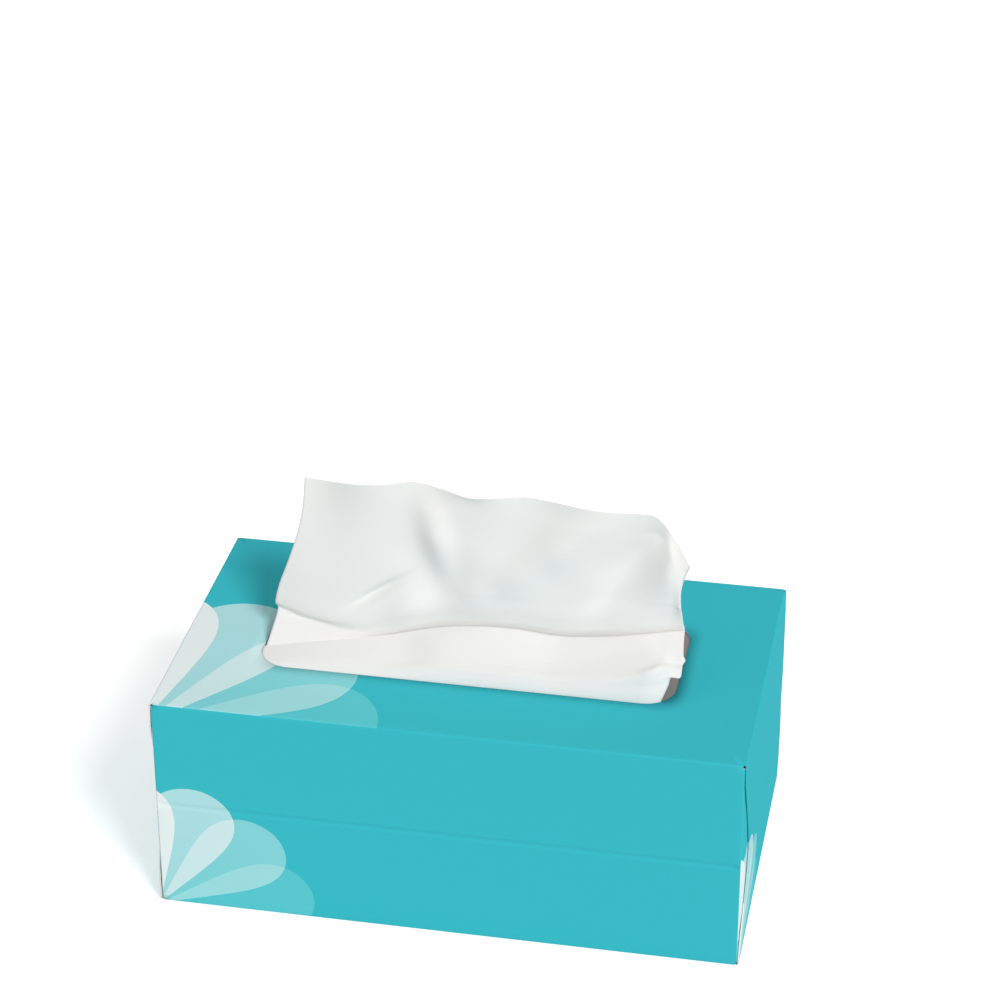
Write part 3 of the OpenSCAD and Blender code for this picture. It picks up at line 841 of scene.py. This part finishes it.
rollFolds = [
    (31.7, -3.6, 25.8, 2.5, 2, 1.6), (11.2, -18.3, 23.6, 9.2, 5, -1.9), (39.4, -17.1, 25.7, 6.1, 178, -1.9),
    (45.8, -0.8, 9.8, 8.6, 7, 1.5), (72.2, -14, 12, 4, 124, -1.6), (69.9, -23.8, 12.8, 2.8, 13, 1.8),
    (68.4, -23.1, 15.2, 3.9, 35, 1.8), (-21.3, -16.6, 9.8, 7.5, 125, -1.8), (60.7, -25.4, 18.9, 2.9, 6, 1.5),
    (69.6, -22.9, 11.4, 3.5, 41, 1.1), (-16.9, -5.7, 18.2, 11.4, 5, 0.9), (-51.9, -10.8, 12.3, 4, 11, 0.5),
]


def windowEdge(x):
    # Front edge of the window at x: straight, then round its corners
    r = board["windowRadius"]
    past = np.clip(np.abs(x) - (windowX - r), 0, r)
    return -(windowY - r + np.sqrt(r ** 2 - past ** 2))


def alongWindow(stations, x):
    # Stations every so often along the window, read at x
    return np.moveaxis(smoothRow(stations, (x + windowX) / (2 * windowX)), -1, 0)


def foldHeight(folds, a, b):
    # Sum of swellings over the plane of a and b, each a bell curve of the distance from its
    # middle as a share of its half length and half width
    total = np.zeros_like(a)
    for middleA, middleB, length, width, turn, height in folds:
        cos, sin = math.cos(math.radians(turn)), math.sin(math.radians(turn))
        along = ((a - middleA) * cos + (b - middleB) * sin) / length
        across = ((b - middleB) * cos - (a - middleA) * sin) / width
        total += height * np.exp(-along ** 2 - across ** 2)
    return total


def freeEdge(x):
    # Top of the sheet: it waves back and forth, and past its shoulder it droops by a power of
    # the distance and curls back by its square. What lies further back is lower by a slope, so
    # that its outline stays where the front sees it
    past = np.maximum(0, x - sheet["shoulderX"]) / sheet["droopWidth"]
    fade = 1 - sheet["waveFade"] * np.clip(x / sheet["shoulderX"], 0, 1)
    wave = fade * sheet["wave"] * np.cos(2 * np.pi * (x + sheet["wavePlace"]) / sheet["wavePitch"])
    curl = sheet["curl"] * past ** 2
    count = len(freeTop) - 1
    z = smoothRow(np.array(freeTop)[:, None], (x - sheet["freeStart"]) / (sheet["freeStep"] * count))[..., 0]
    droop = sheet["droop"] * past ** sheet["droopPower"]
    return wave, curl, z - sheet["seenSlope"] * (wave + curl) - droop


def lying(y, lift):
    # On the stack, at y
    return lambda x: (y + 0 * x, stackHigh[2] + sheet["stackPlay"] + lift + 0 * x)


def overFilm(share, lift):
    # Above the film, between the slit, share 0, and the window's front edge, share 1
    return lambda x: (windowEdge(x) * share, filmHeight(x, windowEdge(x) * share) + lift)


def roll(back, up, sag=0):
    # From the lip on the window's front edge, shares 0, to the crest before the valley behind
    # the roll, shares 1. Near its right end it sags by a share of the distance past the corner
    def place(x):
        y, z = alongWindow(rollBack, x)
        front = windowEdge(np.minimum(x, sheet["lipEndX"])) - sheet["lipOut"]
        low = topZ + sheet["lipUp"]
        drop = sheet["sagSlope"] * sag * np.maximum(0, x - sheet["sagFromX"])
        return front + (y - front) * back, low + (z - low) * up - drop
    return place


def valley(share):
    # Behind the crest, share 0, and from there to where the sheet stands up, share 1
    def place(x):
        y, z = alongWindow(rollBack, x)
        low = z - np.minimum(sheet["valleyDip"], sheet["valleySlope"] * (z - topZ))
        footY, footZ = alongWindow(footLine, x)
        deep = y + sheet["valleyBack"]
        return deep + (footY - deep) * share, low + (footZ - low) * share
    return place


def standing(share):
    # Between the bulge above the valley, share 0, and the free edge, share 1, whose waves fade
    # below it by a power of the share
    def place(x):
        y, z = alongWindow(bulgeLine, x)
        wave, curl, top = freeEdge(x)
        lean = (y - curl) * (1 - share) ** sheet["leanPower"]
        return wave * share ** sheet["waveRise"] + curl + lean, z + (top - z) * share
    return place


# Left end, right end and place at each station from the sheet's foot to its free edge
stations = [
    (-96, 96, lying(52, 0)), (-96, 96, lying(36, 0.3)), (-94, 94, lying(20, 0)),
    (-84, 84, lying(8, 0.4)), (-70, 70, lying(1.2, 2.4)), (-66, 66, overFilm(0, 0.6)),
    (-68, 68, overFilm(0.15, 1.3)), (-70, 69, overFilm(0.55, 0.5)), (-72, 69.5, overFilm(0.88, 0.5)),
    (-74.2, 70, lambda x: (windowEdge(x) + 0.5, topZ - 0.3 + 0 * x)), (-74.8, 70.5, roll(0, 0)),
    (-74.9, 71.5, roll(0.03, 0.16)), (-74.9, 72.5, roll(0.08, 0.31)), (-74.9, 73.1, roll(0.135, 0.46, 0.35)),
    (-74.9, 76.1, roll(0.19, 0.56, 0.8)), (-74.9, 76.5, roll(0.28, 0.69, 0.7)),
    (-74.9, 76.4, roll(0.4, 0.8, 0.93)), (-74.9, 77.1, roll(0.47, 0.845, 0.8)),
    (-74.9, 76.2, roll(0.54, 0.88, 0.68)), (-74.8, 75.7, roll(0.7, 0.93, 0.45)),
    (-74.7, 75.4, roll(0.86, 0.975, 0.2)), (-74.5, 75.2, roll(0.965, 1)), (-74.2, 75.1, valley(0)),
    (-73.2, 75, valley(0.5)), (-72.7, 74.6, valley(1)), (-73.3, 74.3, standing(0)),
    (-71.8, 74, standing(0.14)), (-69.1, 73.7, standing(0.3)), (-65.8, 73.7, standing(0.51)),
    (-63.1, 74.4, standing(0.755)), (-62.2, 75.4, standing(1)),
]


def sheetSurface():
    # One curve across the box at each station, and a spline through the curves from the foot to
    # the free edge. Where stations stand unevenly its slope is kept under the slack times the
    # shorter step, so that it doesn't loop. Folds push the roll up, and the standing part forward
    u = np.linspace(0, 1, sheet["columns"])[None, :]
    curves = []
    for left, right, place in stations:
        x = left + (right - left) * u
        y, z = place(x)
        curves.append(np.stack(np.broadcast_arrays(x, y, z), -1)[0])
    runs = [np.linspace(start, end, rows, endpoint=end == len(stations) - 1)
            for start, end, rows in sheet["rowRuns"]]
    at = np.concatenate(runs)
    grid = smoothRow(curves, at / (len(stations) - 1), sheet["slack"])
    onRoll = np.interp(at, sheet["rollFade"], [0, 1, 1, 0])[:, None]
    upright = np.interp(at, sheet["standFade"], [0, 1, 1, 0])[:, None]
    x, y, z = (grid[..., k].copy() for k in range(3))
    grid[..., 2] += onRoll * foldHeight(rollFolds, x, y)
    grid[..., 1] -= upright * foldHeight(standFolds, x, z)
    return grid


def makeSheet(material):
    # The map "paper" runs along the box and down the sheet in millimetres of paper
    grid = sheetSurface()
    rows, cols = grid.shape[:2]
    faces = gridFaces(rows, cols)
    steps = np.linalg.norm(np.diff(grid[:, cols // 2], axis=0), axis=1)
    down = np.concatenate([[0], np.cumsum(steps)])
    flat = np.stack(np.broadcast_arrays(grid[..., 0], down[:, None]), -1).reshape(-1, 2)
    piece = newPiece("raised_sheet", grid.reshape(-1, 3), faces, [material])
    setMap(piece, "paper", flat[faces])
    addThickness(piece, sheet["thickness"], soft=True)
    return piece


def softTissue():
    # Dry creped tissue: matt, slightly woolly at a glancing look, with a fine crepe across it
    material, tree, out = startMaterial("two-ply tissue")
    place = addNode(tree, "ShaderNodeUVMap", {"uv_map": "paper"})
    stretch = addNode(tree, "ShaderNodeMapping", None,
                      {"Vector": place.outputs[0],
                       "Scale": (sheet["crepeStretch"] / sheet["crepe"], 1 / sheet["crepe"], 1)})
    ripples = addNode(tree, "ShaderNodeTexNoise", {"noise_dimensions": "2D"},
                      {"Vector": stretch.outputs[0], "Scale": 1.0, "Detail": sheet["crepeDetail"]})
    relief = bumpNode(tree, ripples.outputs["Fac"], sheet["relief"], sheet["reliefDepth"])
    shader = addNode(tree, "ShaderNodeBsdfPrincipled", None,
                     {"Base Color": linearColour(sheet["paper"]), "Roughness": sheet["roughness"],
                      "Sheen Weight": sheet["sheen"], "Sheen Roughness": sheet["sheenRoughness"],
                      "Normal": relief})
    tree.links.new(shader.outputs[0], out.inputs["Surface"])
    return material


tissue = softTissue()
pile = makeStack(tissue)
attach(pile, "root")
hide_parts("tissue_stack")
print("stack done")

raised = makeSheet(tissue)
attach(raised, "root")
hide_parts("raised_tissue")
print("raised sheet done")
